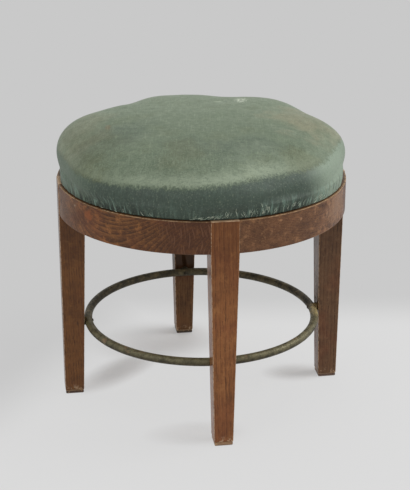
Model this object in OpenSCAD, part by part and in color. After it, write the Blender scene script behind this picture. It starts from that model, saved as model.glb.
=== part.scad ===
// Revolving piano stool: four tapered oak legs, a round seat rail with a rebated lip,
// a brass foot ring and an upholstered seat that rises on an iron screw as it turns.
// Millimetres, +Z up, origin on the floor on the stool's axis. The front leg points along -Y,
// turned a little towards +X.

/* [Frame] */
// Outside diameter of the round seat rail
rail_d = 450; // [430:1:520]
// Height of the seat rail's top edge above the floor
rail_top = 360; // [345:1:420]
// Depth of the seat rail from its top edge to its bottom edge
rail_h = 50; // [49:1:70]
// Thickness of the rail below its rebate
rail_t = 24; // [20:1:30]
// Thickness of the lip that stands round the seat
lip_t = 8; // [6:0.5:10]
// Depth of the rebate that the seat sinks into
rebate_h = 16.5; // [15:0.5:18]
// Turn of the legs away from straight ahead, in degrees
leg_turn = 8.8; // [0:0.1:44]

/* [Legs] */
// Width of a leg across its outer face, at the rail
leg_w = 42; // [39:1:50]
// Depth of a leg from its outer face to its inner face, at the rail
leg_d = 40; // [38:1:46]
// Width of a leg at its foot
foot_w = 29; // [22:1:34]
// Depth of a leg at its foot
foot_d = 30; // [22:1:34]
// How far the outer face leans in from the rail to the foot
foot_lean = 1; // [0:0.5:6]
// Thickness of the pad nailed under each foot
pad_t = 6; // [4:0.5:10]

/* [Foot ring] */
// Diameter of the brass rod
rod_d = 12.8; // [8:0.2:14]
// Height of the ring's centreline above the floor
ring_z = 121.5; // [100:0.5:160]
// Gap between the ring and the legs, which four collars fill
ring_gap = 1.5; // [1:0.5:6]
// Length of the spigot that joins the two half rings at each side
spigot_len = 16; // [12:1:20]

/* [Seat screw] */
// Outside diameter of the spindle's thread
thread_d = 22; // [20:1:26]
// Rise of the thread in one turn
pitch = 6; // [5:0.5:8]
// Depth of the thread
thread_depth = 2.5; // [2:0.1:2.8]
// Turns from the lowest to the highest seat
lift_turns = 10; // [6:1:11]
// Thickness of the two crossing bars that carry the nut
bar_t = 22; // [18:1:24]
// Width of the crossing bars
bar_w = 60; // [56:1:64]
// How far the nut's barrel reaches below the bars
nut_tail = 10.5; // [6:0.5:14]

/* [Seat] */
// Thickness of the round seat board
board_t = 18; // [15:1:22]
// Height of the crown above the rail's top edge
crown_h = 86; // [70:1:110]
// How far the cushion bulges past its straight side at the rail, before its soft lobes
bulge_over = 6; // [4:0.5:8]
// Thickness of the silk cover
cover_t = 1.2; // [1:0.1:1.6]
// Thickness of the calico under the cover
calico_t = 0.7; // [0.5:0.1:1]
// Number of tacks that hold the cover's hem
tack_count = 36; // [24:1:44]

/* [Hidden] */
$fn = 64;
fit = 0.1;            // clearance of wood and metal that is pushed or glued together
overrun = 1;          // how far a cutting shape runs past the face that it cuts

// the rail and its joints
rail_r = rail_d / 2;
lip_r = rail_r - lip_t;
rail_in_r = rail_r - rail_t;
rail_z = rail_top - rail_h;
ledge_z = rail_top - rebate_h;
tenon_t = 9;
tenon_len = 13;
tenon_shoulder = 6;   // wood left above and below a rail's tenon
tenon_r = rail_r - lip_t - tenon_t;

// the legs
leg_in_r = rail_r - leg_d;
foot_out_r = rail_r - foot_lean;
foot_chamfer = 1.5;
leg_base_z = pad_t;
// radius of a leg's inner face at a height below the rail
function leg_inner(z) = foot_out_r - foot_d
    + (leg_in_r - foot_out_r + foot_d) * (z - leg_base_z) / (rail_z - leg_base_z);

// the foot ring
rod_r = rod_d / 2;
ring_r = leg_inner(ring_z) - ring_gap - rod_r;
spigot_wall = 1.8;
spigot_r = rod_r - spigot_wall;
spigot_turn = spigot_len / 2 / ring_r * 180 / PI;
spigot_play = fit / ring_r * 180 / PI;
spigot_over = 1;           // degrees that a bore runs past a half ring's end
ring_screw_r = 1.6;
ring_screw_head_r = 3.4;
ring_screw_head_h = 2.4;
ring_dome_r = (ring_screw_head_r ^ 2 + ring_screw_head_h ^ 2) / (2 * ring_screw_head_h);
ring_screw_flat = 0.8;     // depth of the flat spot under the head
ring_screw_len = 20;       // length of the screw inside the leg
slot_w = 1;
slot_depth = 1;
ring_collar_rim = 0.5;     // how much wider than the rod a distance collar is
ring_collar_r = rod_r + ring_collar_rim;
ring_collar_seat = 1;      // how deep a distance collar is let into the leg
ring_collar_lip = 3;       // how far its lips reach back over the rod

// heights of the seat's mechanism, from the rebate's ledge downwards
seat_gap = 1.5;            // air between the ledge and the tack heads
tack_head_t = 0.8;
layer_gap = 0.3;
hem_z = ledge_z + seat_gap + tack_head_t;
board_z = hem_z + cover_t + layer_gap / 2;
plate_t = 5;
washer_t = 2.5;
nut_flange_t = 5;
plate_z = board_z - plate_t;
nut_top_z = plate_z - washer_t;
bar_top_z = nut_top_z - nut_flange_t;
bar_z = bar_top_z - bar_t;
nut_z = bar_z - nut_tail;
travel = lift_turns * pitch;
collar_gap = 2;            // air left under the nut when the seat is at its highest
collar_t = 6.5;
collar_top_z = nut_z - travel - collar_gap;
collar_z = collar_top_z - collar_t;

// the crossing bars
bar_tenon_w = 24;
bar_tenon_t = 13;
bar_tenon_len = 13;

// the screw and its nut
crest_r = thread_d / 2;
core_r = crest_r - thread_depth;
root_share = 0.32;
crest_share = 0.18;
root_half = pitch * root_share;
crest_half = pitch * crest_share;
thread_run = 0.3;          // running clearance between the threads
thread_steps = 24;         // flats in one turn
thread_bite = 0.5;         // how deep the ridge is rooted in the core
thread_end_share = 0.2;    // height that the thread starts and ends with
rivet_step = 3;            // how much thinner than the thread the riveted end is
rivet_r = crest_r - rivet_step;
nut_screw_off = 4;         // how far the nut's screws lie outside the crossing of the bars
nut_screw_ring = bar_w / 2 + nut_screw_off;
nut_flange_rim = 8;
nut_flange_r = nut_screw_ring + nut_flange_rim;
nut_barrel_r = 18;
washer_r = 22;
collar_r = 16;
pin_r = 1.5;

// countersunk wood screws
wood_screw_r = 2.2;
wood_screw_head_r = 4.4;
wood_screw_grip = 13;      // length of the shank inside the wood
screw_slot_w = 1;
screw_slot_depth = 1;

// the seat plate's arms
plate_hub_r = 32;
plate_arm_w = 24;
plate_screw_ring = 62;

// the layers round the seat board: each ring of the cloth is a polygon of this many sides
cloth_sides = 48;
seat_clear = 2;            // air between the cover and the rail's lip
cover_r = lip_r - seat_clear;
bulge_r = cover_r + bulge_over;
hem_w = 24;
hem_r = cover_r - hem_w;
board_gap = 0.7;
board_r = (cover_r - cover_t - layer_gap - calico_t) * cos(180 / cloth_sides) - board_gap;
board_round = 3;
stuffing_gap = 0.3;
stuffing_inset = cover_t + layer_gap + calico_t + stuffing_gap;
stuffing_z = board_z + board_t + stuffing_gap;
crown_top = rail_top + crown_h;
calico_lap = 4;            // how far above the board's underside the calico ends
tack_ring = hem_r + hem_w / 2;
tack_head_r = 3.2;
tack_r = 0.9;
tack_len = 9;
nail_r = 1.2;
nail_head_r = 3;
nail_sink = 1;
nail_len = 20;
pad_inset = 0.8;
pad_chamfer = 1.5;

// the cushion's plan: soft lobes, each [waves round the seat, share of the radius, turn]
lobe_shares = [[2, 0.012, 74], [3, 0.011, 117], [6, 0.015, -72], [7, 0.019, 72], [8, 0.01, 87]];
// the side, from the rail up: [share of the way out to the bulge, share of the crown's height]
side_shares = [[0.15, 0.05], [0.75, 0.17], [1, 0.34], [0.9, 0.50]];
// the top, from the edge to the middle: [share of the radius, share of the crown's height]
top_shares = [[0.965, 0.62], [0.92, 0.73], [0.84, 0.85], [0.7, 0.94], [0.48, 0.985], [0.22, 1]];
// the cushion's lean: it has settled towards the front
lean_share = 0.1;
lean_turn = 85;

// Rotates children from a leg's own frame, X outwards, to its place round the stool.
module at_leg(n) rotate(leg_turn - 90 + 90 * n) children();

function bulge(a) = bulge_r * (1 + [for (c = lobe_shares) c[1] * cos(c[0] * a - c[2])]
    * [for (c = lobe_shares) 1]);

// The cover's outer meridian at angle a, from the ring next to the middle down to the rail.
function crown_line(a) = concat(
    [for (i = [len(top_shares) - 1 : -1 : 0]) let (s = top_shares[i])
        [bulge(a) * s[0], rail_top + crown_h * s[1] * (1 + lean_share * s[0] * cos(a - lean_turn))]],
    [for (i = [len(side_shares) - 1 : -1 : 0]) let (s = side_shares[i])
        [cover_r + (bulge(a) - cover_r) * s[0],
            rail_top + crown_h * s[1] * (1 + lean_share * cos(a - lean_turn))]],
    [[cover_r, rail_top]]);

// A meridian moved inwards by d along its own normals.
function inset_line(line, d) = [for (i = [0 : len(line) - 1])
    let (before = line[max(i - 1, 0)], after = line[min(i + 1, len(line) - 1)],
        run = after - before, n = [-run[1], run[0]] / norm(run))
    line[i] - d * n];

// Points of a closed solid that is spun through rings between two apexes on the axis.
function spun_points(lines, top, bottom) = concat([[0, 0, top]],
    [for (j = [0 : len(lines[0]) - 1]) for (i = [0 : cloth_sides - 1])
        let (a = 360 * i / cloth_sides, p = lines[i][j]) [p[0] * cos(a), p[0] * sin(a), p[1]]],
    [[0, 0, bottom]]);

// Each four-sided facet is split across. From ring turned on, where a skin's inner side runs back
// up, it is split the other way, so that both sides of the skin fold alike.
function spun_faces(rings, turned) = let (n = cloth_sides, last = rings * n + 1) concat(
    [for (i = [0 : n - 1]) [0, 1 + (i + 1) % n, 1 + i]],
    [for (j = [0 : rings - 2]) for (i = [0 : n - 1]) for (half = [0, 1])
        let (a = 1 + j * n + i, b = 1 + j * n + (i + 1) % n, c = a + n, d = b + n)
        j < turned ? (half == 0 ? [a, b, d] : [a, d, c]) : (half == 0 ? [a, b, c] : [b, d, c])],
    [for (i = [0 : n - 1]) [last, last - n + i, last - n + (i + 1) % n]]);

module spun(lines, top, bottom, skin = false) {
    rings = len(lines[0]);
    polyhedron(spun_points(lines, top, bottom), spun_faces(rings, skin ? rings / 2 : rings),
        convexity = 6);
}

function reversed(list) = [for (i = [len(list) - 1 : -1 : 0]) list[i]];

// A trapezoid ridge along a right-hand helix, from z0 to z1, one point of it on +X at z_start.
module helix(z0, z1, z_start, root_r, out_r, root_w, crest_w, end_share) {
    steps = ceil((z1 - z0) / pitch * thread_steps);
    function rise(i) = min(1, end_share + (1 - end_share) * min(i, steps - i) / thread_steps * 2);
    points = [for (i = [0 : steps])
        let (z = z0 + (z1 - z0) * i / steps, a = (z - z_start) / pitch * 360,
            r = root_r + (out_r - root_r) * rise(i))
        for (p = [[root_r, -root_w], [r, -crest_w], [r, crest_w], [root_r, root_w]])
            [p[0] * cos(a), p[0] * sin(a), z + p[1]]];
    faces = concat([[0, 2, 1], [0, 3, 2]],
        [for (i = [0 : steps - 1]) for (k = [0 : 3]) for (half = [0, 1])
            let (a = 4 * i + k, b = 4 * i + (k + 1) % 4)
            half == 0 ? [a, b + 4, a + 4] : [a, b, b + 4]],
        [[4 * steps, 4 * steps + 1, 4 * steps + 2], [4 * steps, 4 * steps + 2, 4 * steps + 3]]);
    polyhedron(points, faces, convexity = 20);
}

// A slotted countersunk wood screw with the flat of its head at z = 0, pointing up.
module wood_screw(grip, plate) {
    head_h = wood_screw_head_r - wood_screw_r;
    difference() {
        union() {
            cylinder(r1 = wood_screw_head_r, r2 = wood_screw_r, h = head_h);
            cylinder(r = wood_screw_r, h = plate + grip);
        }
        translate([-wood_screw_head_r - overrun, -screw_slot_w / 2, -overrun])
            cube([2 * (wood_screw_head_r + overrun), screw_slot_w, screw_slot_depth + overrun]);
    }
}

// The hole for that screw, a clearance wider all round.
module wood_screw_hole(grip, plate) {
    head_h = wood_screw_head_r - wood_screw_r;
    translate([0, 0, -overrun]) cylinder(r = wood_screw_head_r + fit, h = overrun);
    cylinder(r1 = wood_screw_head_r + fit, r2 = wood_screw_r + fit, h = head_h);
    cylinder(r = wood_screw_r + fit, h = plate + grip + fit);
}

// The tenon at one end of a rail, in a leg's frame, on the side given by s, grown by g. It
// starts out of the leg's side face by reach.
module rail_tenon(s, g, reach) {
    low = rail_z + tenon_shoulder - g;
    high = ledge_z - tenon_shoulder / 2 + g;
    mirror([0, s > 0 ? 0 : 1, 0]) translate([tenon_r - g, leg_w / 2 - tenon_len - g, low])
        cube([tenon_t + 2 * g, tenon_len + g + reach, high - low]);
}

// The tenon of a crossing bar, in a leg's frame, grown by g.
module bar_tenon(g)
    translate([leg_in_r - overrun, -bar_tenon_w / 2 - g, bar_z + (bar_t - bar_tenon_t) / 2 - g])
    cube([bar_tenon_len + g + overrun, bar_tenon_w + 2 * g, bar_tenon_t + 2 * g]);

// A length of the foot ring's rod with radius r, from angle a on.
module rod(r, a, turn)
    rotate(a) rotate_extrude(angle = turn, $fn = 128) translate([ring_r, 0]) circle(r);

// Hole and flat spot of a foot ring screw, in a leg's frame at the ring's height.
module ring_screw_hole() translate([ring_r - rod_r, 0, 0]) rotate([0, 90, 0]) {
    translate([0, 0, -overrun])
        cylinder(r = ring_screw_r + fit, h = overrun + rod_d + ring_gap + ring_screw_len + fit);
    translate([0, 0, ring_screw_flat - rod_r]) cylinder(r = ring_screw_head_r + 2 * fit, h = rod_r);
}

module leg(n) color("#6b3f26") at_leg(n) difference() {
    union() {
        translate([leg_in_r, -leg_w / 2, rail_z]) cube([leg_d, leg_w, rail_h]);
        hull() {
            translate([leg_in_r, -leg_w / 2, rail_z]) cube([leg_d, leg_w, foot_chamfer]);
            translate([foot_out_r - foot_d, -foot_w / 2, leg_base_z + foot_chamfer])
                cube([foot_d, foot_w, foot_chamfer]);
            translate([foot_out_r - foot_d + foot_chamfer, foot_chamfer - foot_w / 2, leg_base_z])
                cube([foot_d - 2 * foot_chamfer, foot_w - 2 * foot_chamfer, foot_chamfer]);
        }
    }
    translate([0, 0, ledge_z]) cylinder(r = lip_r, h = rebate_h + overrun, $fn = 128);
    rail_tenon(1, fit, overrun);
    rail_tenon(-1, fit, overrun);
    bar_tenon(fit);
    translate([0, 0, ring_z]) ring_screw_hole();
    translate([ring_r, 0, ring_z]) rotate([0, 90, 0])
        cylinder(r = ring_collar_r + fit, h = rod_r + ring_gap + ring_collar_seat);
    translate([foot_out_r - foot_d / 2, 0, 0]) cylinder(r = nail_r + fit, h = pad_t + nail_len + fit);
}

// The rail between leg n and leg n + 1.
module rail(n) color("#70452b") difference() {
    union() {
        difference() {
            at_leg(n) rotate_extrude(angle = 90, $fn = 128) polygon([
                [rail_in_r, rail_z], [rail_r, rail_z], [rail_r, rail_top],
                [lip_r, rail_top], [lip_r, ledge_z], [rail_in_r, ledge_z]]);
            for (k = [0, 1]) at_leg(n + k)
                translate([leg_in_r - overrun, -leg_w / 2 - fit, rail_z - overrun])
                    cube([leg_d + 2 * overrun, leg_w + 2 * fit, rail_h + 2 * overrun]);
        }
        at_leg(n) rail_tenon(1, 0, fit + overrun);
        at_leg(n + 1) rail_tenon(-1, 0, fit + overrun);
    }
}

// One of the two crossing bars, halved into the other: part is 0 for the lower, 1 for the upper.
module cross_bar(part) color("#8a6442") at_leg(1 - part) difference() {
    union() {
        translate([fit - leg_in_r, -bar_w / 2, bar_z]) cube([2 * (leg_in_r - fit), bar_w, bar_t]);
        for (side = [0, 180]) rotate(side) bar_tenon(0);
    }
    translate([-bar_w / 2 - fit, -bar_w / 2 - overrun, bar_z + (part == 0 ? bar_t / 2 : -overrun)])
        cube([bar_w + 2 * fit, bar_w + 2 * overrun, bar_t / 2 + overrun]);
    translate([0, 0, bar_z - overrun]) cylinder(r = nut_barrel_r + fit, h = bar_t + 2 * overrun);
    for (side = [0, 180]) rotate(side) translate([nut_screw_ring, 0, nut_top_z])
        mirror([0, 0, 1]) wood_screw_hole(wood_screw_grip, nut_flange_t);
}

module screw_nut() color("#3d3a38") difference() {
    union() {
        translate([0, 0, bar_top_z]) cylinder(r = nut_flange_r, h = nut_flange_t);
        translate([0, 0, nut_z]) cylinder(r = nut_barrel_r, h = bar_top_z - nut_z + overrun);
    }
    translate([0, 0, nut_z - overrun])
        cylinder(r = core_r + thread_run, h = nut_top_z - nut_z + 2 * overrun);
    helix(nut_z - pitch, nut_top_z + pitch, plate_z, core_r, crest_r + thread_run,
        root_half + thread_run, crest_half + thread_run, 1);
    for (n = [0 : 3]) at_leg(n) translate([nut_screw_ring, 0, nut_top_z])
        mirror([0, 0, 1]) wood_screw_hole(wood_screw_grip, nut_flange_t);
}

module nut_screws() color("#4a4642") for (n = [0 : 3]) at_leg(n)
    translate([nut_screw_ring, 0, nut_top_z]) mirror([0, 0, 1]) wood_screw(wood_screw_grip, nut_flange_t);

// The front half ring runs past the left and right legs, and is bored for the other's spigots.
module foot_ring_front() color("#6d6845") difference() {
    at_leg(-1) translate([0, 0, ring_z]) difference() {
        rod(rod_r, -spigot_turn, 180 + 2 * spigot_turn);
        rod(spigot_r + fit, -spigot_turn - spigot_over, 2 * spigot_turn + spigot_over + spigot_play);
        rod(spigot_r + fit, 180 - spigot_turn - spigot_play, 2 * spigot_turn + spigot_over + spigot_play);
    }
    for (n = [-1 : 1]) at_leg(n) translate([0, 0, ring_z]) ring_screw_hole();
}

module foot_ring_back() color("#5c5840") difference() {
    at_leg(1) translate([0, 0, ring_z]) {
        rod(rod_r, spigot_turn + spigot_play, 180 - 2 * (spigot_turn + spigot_play));
        rod(spigot_r, -spigot_turn, 180 + 2 * spigot_turn);
    }
    for (n = [1 : 3]) at_leg(n) translate([0, 0, ring_z]) ring_screw_hole();
}

// Collars between the ring and the legs, coped over the rod and let into the wood.
module foot_ring_collars() color("#5c5840") for (n = [0 : 3]) at_leg(n) translate([0, 0, ring_z])
    difference() {
        translate([ring_r + rod_r - ring_collar_lip, 0, 0]) rotate([0, 90, 0])
            cylinder(r = ring_collar_r, h = ring_collar_lip + ring_gap + ring_collar_seat);
        rod(rod_r + fit, -2 * spigot_turn, 4 * spigot_turn);
        ring_screw_hole();
    }

module foot_ring_screws() color("#39352c") for (n = [0 : 3]) at_leg(n)
    translate([ring_r - rod_r + ring_screw_flat, 0, ring_z]) rotate([0, 90, 0]) {
        cylinder(r = ring_screw_r, h = rod_d - ring_screw_flat + ring_gap + ring_screw_len);
        difference() {
            translate([0, 0, ring_dome_r - ring_screw_head_h]) sphere(ring_dome_r);
            cylinder(r = ring_dome_r + overrun, h = 2 * ring_dome_r);
            translate([-slot_w / 2, -ring_screw_head_r - overrun, -ring_screw_head_h - overrun])
                cube([slot_w, 2 * (ring_screw_head_r + overrun), slot_depth + overrun]);
        }
    }

module foot_pad(n) color("#5a3a24") at_leg(n) difference() {
    hull() {
        translate([foot_out_r - foot_d + pad_inset + pad_chamfer, pad_inset + pad_chamfer - foot_w / 2, 0])
            cube([foot_d - 2 * (pad_inset + pad_chamfer), foot_w - 2 * (pad_inset + pad_chamfer), pad_t]);
        translate([foot_out_r - foot_d + pad_inset, pad_inset - foot_w / 2, pad_chamfer])
            cube([foot_d - 2 * pad_inset, foot_w - 2 * pad_inset, pad_t - pad_chamfer]);
    }
    translate([foot_out_r - foot_d / 2, 0, -overrun]) {
        cylinder(r = nail_r + fit, h = pad_t + 2 * overrun);
        cylinder(r = nail_head_r + fit, h = overrun + nail_sink + nail_r);
    }
}

module foot_pad_nails() color("#4a4642") for (n = [0 : 3]) at_leg(n)
    translate([foot_out_r - foot_d / 2, 0, nail_sink]) {
        cylinder(r = nail_head_r, h = nail_r);
        cylinder(r = nail_r, h = pad_t - nail_sink + nail_len);
    }

module stop_washer() color("#3a2a20") difference() {
    translate([0, 0, nut_top_z]) cylinder(r = washer_r, h = washer_t);
    translate([0, 0, nut_top_z - overrun])
        cylinder(r = crest_r + 2 * thread_run, h = washer_t + 2 * overrun);
}

module seat_board() color("#9a7a55") difference() {
    translate([0, 0, board_z]) union() {
        cylinder(r = board_r, h = board_t - board_round, $fn = 128);
        cylinder(r = board_r - board_round, h = board_t, $fn = 128);
        translate([0, 0, board_t - board_round]) rotate_extrude($fn = 128)
            translate([board_r - board_round, 0]) intersection() {
                circle(board_round);
                square(board_round + overrun);
            }
    }
    for (n = [0 : 3]) rotate(90 * n) translate([plate_screw_ring, 0, plate_z])
        wood_screw_hole(wood_screw_grip, plate_t);
}

module seat_plate() color("#3d3a38") difference() {
    translate([0, 0, plate_z]) {
        cylinder(r = plate_hub_r, h = plate_t);
        for (n = [0 : 3]) rotate(90 * n) {
            translate([0, -plate_arm_w / 2, 0]) cube([plate_screw_ring, plate_arm_w, plate_t]);
            translate([plate_screw_ring, 0, 0]) cylinder(r = plate_arm_w / 2, h = plate_t);
        }
    }
    translate([0, 0, plate_z - overrun]) cylinder(r = rivet_r + fit / 2, h = plate_t + 2 * overrun);
    for (n = [0 : 3]) rotate(90 * n) translate([plate_screw_ring, 0, plate_z])
        wood_screw_hole(wood_screw_grip, plate_t);
}

module plate_screws() color("#4a4642") for (n = [0 : 3])
    rotate(90 * n) translate([plate_screw_ring, 0, plate_z]) wood_screw(wood_screw_grip, plate_t);

module spindle() color("#55524e") difference() {
    union() {
        translate([0, 0, collar_z]) cylinder(r = core_r, h = plate_z - collar_z);
        translate([0, 0, plate_z - overrun]) cylinder(r = rivet_r, h = plate_t + overrun);
        helix(collar_top_z + root_half, plate_z - root_half, plate_z, core_r - thread_bite, crest_r,
            root_half, crest_half, thread_end_share);
    }
    translate([0, 0, collar_z + collar_t / 2]) rotate([0, 90, 0])
        cylinder(r = pin_r + fit / 2, h = 2 * core_r + 2 * overrun, center = true);
}

module stop_collar() color("#3d3a38") difference() {
    translate([0, 0, collar_z]) cylinder(r = collar_r, h = collar_t);
    translate([0, 0, collar_z - overrun]) cylinder(r = core_r + fit / 2, h = collar_t + 2 * overrun);
    translate([0, 0, collar_z + collar_t / 2]) rotate([0, 90, 0])
        cylinder(r = pin_r + fit / 2, h = 2 * collar_r + 2 * overrun, center = true);
}

module collar_pin() color("#6a6660") translate([0, 0, collar_z + collar_t / 2]) rotate([0, 90, 0])
    cylinder(r = pin_r, h = 2 * collar_r, center = true);

// The stuffing fills the calico down to the board, and ends in a flat underside, where its
// meridian is cut between the last two points above the rail.
module stuffing() color("#8c6f4d") spun(
    [for (i = [0 : cloth_sides - 1])
        let (line = inset_line(crown_line(360 * i / cloth_sides), stuffing_inset),
            kept = len(line) - 3, above = line[kept], below = line[kept + 1],
            cut = (stuffing_z - above[1]) / (below[1] - above[1]))
        concat([for (j = [0 : kept]) line[j]], [above + (below - above) * cut])],
    crown_top - stuffing_inset, stuffing_z);

module calico_lining() color("#cfc6ae") {
    outside = cover_t + layer_gap;
    inside = outside + calico_t;
    low = board_z + calico_lap;
    spun([for (i = [0 : cloth_sides - 1]) let (line = crown_line(360 * i / cloth_sides))
        concat(inset_line(line, outside), [[cover_r - outside, low], [cover_r - inside, low]],
            reversed(inset_line(line, inside)))],
        crown_top - outside, crown_top - inside, skin = true);
}

module seat_cover() color("#6f8470") {
    hem_fold = hem_z + cover_t;
    spun([for (i = [0 : cloth_sides - 1]) let (line = crown_line(360 * i / cloth_sides))
        concat(line,
            [[cover_r, hem_z], [hem_r, hem_z], [hem_r, hem_fold], [cover_r - cover_t, hem_fold]],
            reversed(inset_line(line, cover_t)))],
        crown_top, crown_top - cover_t, skin = true);
}

module cover_tacks() color("#2f2c28") for (n = [0 : tack_count - 1])
    rotate(360 * n / tack_count) translate([tack_ring, 0, hem_z]) {
        translate([0, 0, -tack_head_t]) cylinder(r = tack_head_r, h = tack_head_t);
        cylinder(r = tack_r, h = tack_len);
    }

leg(0);  // leg_front
leg(1);  // leg_right
leg(2);  // leg_back
leg(3);  // leg_left
rail(0);  // rail_front_right
rail(1);  // rail_back_right
rail(2);  // rail_back_left
rail(3);  // rail_front_left
cross_bar(0);  // cross_bar_lower
cross_bar(1);  // cross_bar_upper
screw_nut();
nut_screws();
foot_ring_front();
foot_ring_back();
foot_ring_collars();
foot_ring_screws();
foot_pad(0);  // foot_pad_front
foot_pad(1);  // foot_pad_right
foot_pad(2);  // foot_pad_back
foot_pad(3);  // foot_pad_left
foot_pad_nails();
stop_washer();
seat_board();
seat_plate();
plate_screws();
spindle();
stop_collar();
collar_pin();
stuffing();
calico_lining();
seat_cover();
cover_tacks();
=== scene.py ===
import math
import random
from functools import reduce

import bmesh
import bpy
from mathutils import Matrix, Vector, noise
from mathutils.bvhtree import BVHTree


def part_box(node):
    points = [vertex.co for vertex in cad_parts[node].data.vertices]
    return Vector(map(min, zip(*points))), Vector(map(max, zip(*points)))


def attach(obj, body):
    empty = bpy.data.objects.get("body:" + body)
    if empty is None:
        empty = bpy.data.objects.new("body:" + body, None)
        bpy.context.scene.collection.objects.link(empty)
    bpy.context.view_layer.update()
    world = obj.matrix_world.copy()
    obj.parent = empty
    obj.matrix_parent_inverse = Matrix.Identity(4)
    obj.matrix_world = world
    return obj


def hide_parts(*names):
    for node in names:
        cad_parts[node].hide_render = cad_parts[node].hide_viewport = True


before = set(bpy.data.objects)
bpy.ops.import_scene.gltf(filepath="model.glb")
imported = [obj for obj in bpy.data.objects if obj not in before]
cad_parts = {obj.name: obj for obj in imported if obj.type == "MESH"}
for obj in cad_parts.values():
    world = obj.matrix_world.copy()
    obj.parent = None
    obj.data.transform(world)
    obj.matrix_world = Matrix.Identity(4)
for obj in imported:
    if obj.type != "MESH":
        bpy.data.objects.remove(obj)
SCENE = bpy.context.scene
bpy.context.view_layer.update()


# The stool stands on a pale paper floor in soft daylight, seen from a little above its seat.
# The camera's place, turn and lens give the photograph's view.
CAMERA_PLACE = Vector((0, -2.1315, 1.0481))
CAMERA_YAW = math.radians(0.154)
CAMERA_PITCH = math.radians(-20.76)
CAMERA_ROLL = math.radians(0.122)
CAMERA_LENS = 105.19
FLOOR_NEAR = 0.700
FLOOR_FAR = 0.584
FLOOR_POOL = (0.65, 1.4)
FLOOR_SIZE = 12
FLOOR_SHADOW = 0.12
FOOT_SHADOWS = [
    ((-0.135, 0.045, 0), (0.150, 0.055, 1), 54, 0.72),
    ((-0.070, 0.165, 0), (0.170, 0.120, 1), 20, 0.80),
    ((0.160, 0.036, 0), (0.085, 0.050, 1), 8, 0.62),
    ((-0.010, -0.180, 0), (0.120, 0.060, 1), 8, 0.42),
]
FLOOR_GAIN = 0.25
FLOOR_SLANT = (-0.889, 0.457, 0)
FLOOR_SLANT_FROM = 0.244
FLOOR_BACK_FROM = 0.30
FLOOR_FADE = (-0.09, 0.08)
SHADOW_EDGE = (1.0, 0.15)
SHADOW_END = (1.1, 0.4)
SKY_LEVEL = 0.46
LIGHTS_AIM = Vector((0, 0, 0.3))


def put(kind, sockets=None, tree=None, **settings):
    """Adds one shader node. sockets gives its inputs, each as a value or as another node's output."""
    sockets = sockets or {}
    feeds = {key: value for key, value in sockets.items() if isinstance(value, bpy.types.NodeSocket)}
    if tree is None:
        tree = next(iter(feeds.values())).id_data
    node = tree.nodes.new("ShaderNode" + kind)
    for key, value in settings.items():
        setattr(node, key, value)
    for key, value in sockets.items():
        if key in feeds:
            tree.links.new(value, node.inputs[key])
        else:
            node.inputs[key].default_value = value
    return node


def sums(operation, first, other=0.0):
    return put("Math", {0: first, 1: other}, operation=operation).outputs[0]


def times(*levels):
    return reduce(lambda first, other: sums("MULTIPLY", first, other), levels)


def plus(*levels):
    return reduce(lambda first, other: sums("ADD", first, other), levels)


def highest(*levels):
    return reduce(lambda first, other: sums("MAXIMUM", first, other), levels)


def vectors(operation, first, other=(0, 0, 0)):
    node = put("VectorMath", {0: first, 1: other}, operation=operation)
    return node.outputs["Value" if operation in ("LENGTH", "DOT_PRODUCT") else "Vector"]


def split(vector):
    return put("SeparateXYZ", {0: vector}).outputs


def between(value, low, high, start=0.0, end=1.0):
    """Rises smoothly from start to end as value goes from low to high."""
    sockets = {0: value, 1: low, 2: high, 3: start, 4: end}
    return put("MapRange", sockets, interpolation_type="SMOOTHSTEP").outputs[0]


def laid(amount, under, over):
    """Lays one colour over another by an amount from 0 to 1."""
    return put("Mix", {0: amount, 6: under, 7: over}, data_type="RGBA").outputs[2]


def tint(under, over, value, low, high, most=1.0):
    """Lays one colour over another, more of it as value goes from low to high."""
    return laid(between(value, low, high, 0.0, most), under, over)


def seen(red, green, blue):
    """A colour given as it looks on a screen, 0 to 255 each, as a shader takes it."""
    shares = [c / 255 for c in (red, green, blue)]
    return [c / 12.92 if c < 0.04045 else ((c + 0.055) / 1.055) ** 2.4 for c in shares] + [1]


def new_finish(name):
    """A new material, and the place on its piece, from which all its nodes are led."""
    material = bpy.data.materials.new(name)
    material.use_nodes = True
    material.node_tree.nodes.clear()
    return material, put("TexCoord", tree=material.node_tree).outputs["Object"]


def looked_at(tree):
    """1 for what the camera sees, straight, in gloss or through glass, and 0 for all other light."""
    path = put("LightPath", tree=tree).outputs
    return highest(path["Is Camera Ray"], path["Is Glossy Ray"], path["Is Transmission Ray"])


def show(name, data, finish=None):
    """Puts a new object into the scene."""
    obj = bpy.data.objects.new(name, data)
    SCENE.collection.objects.link(obj)
    if finish:
        data.materials.append(finish)
    return obj


def add_camera():
    forward = Vector((math.sin(CAMERA_YAW) * math.cos(CAMERA_PITCH),
                      math.cos(CAMERA_YAW) * math.cos(CAMERA_PITCH), math.sin(CAMERA_PITCH)))
    right = Vector((math.cos(CAMERA_YAW), -math.sin(CAMERA_YAW), 0))
    up = right.cross(forward)
    tilt = Matrix.Rotation(-CAMERA_ROLL, 3, forward)
    turned = Matrix([tilt @ right, tilt @ up, -forward]).transposed().to_4x4()
    camera = show("camera", bpy.data.cameras.new("camera"))
    camera.data.lens = CAMERA_LENS
    camera.matrix_world = Matrix.Translation(CAMERA_PLACE) @ turned
    SCENE.camera = camera


def add_window(name, place, size, power):
    """A soft square light that faces the seat."""
    lamp = bpy.data.lights.new(name, "AREA")
    lamp.shape = "SQUARE"
    lamp.size = size
    lamp.energy = power
    window = show(name, lamp)
    window.location = place
    window.rotation_euler = (LIGHTS_AIM - Vector(place)).to_track_quat("-Z", "Y").to_euler()


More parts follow.
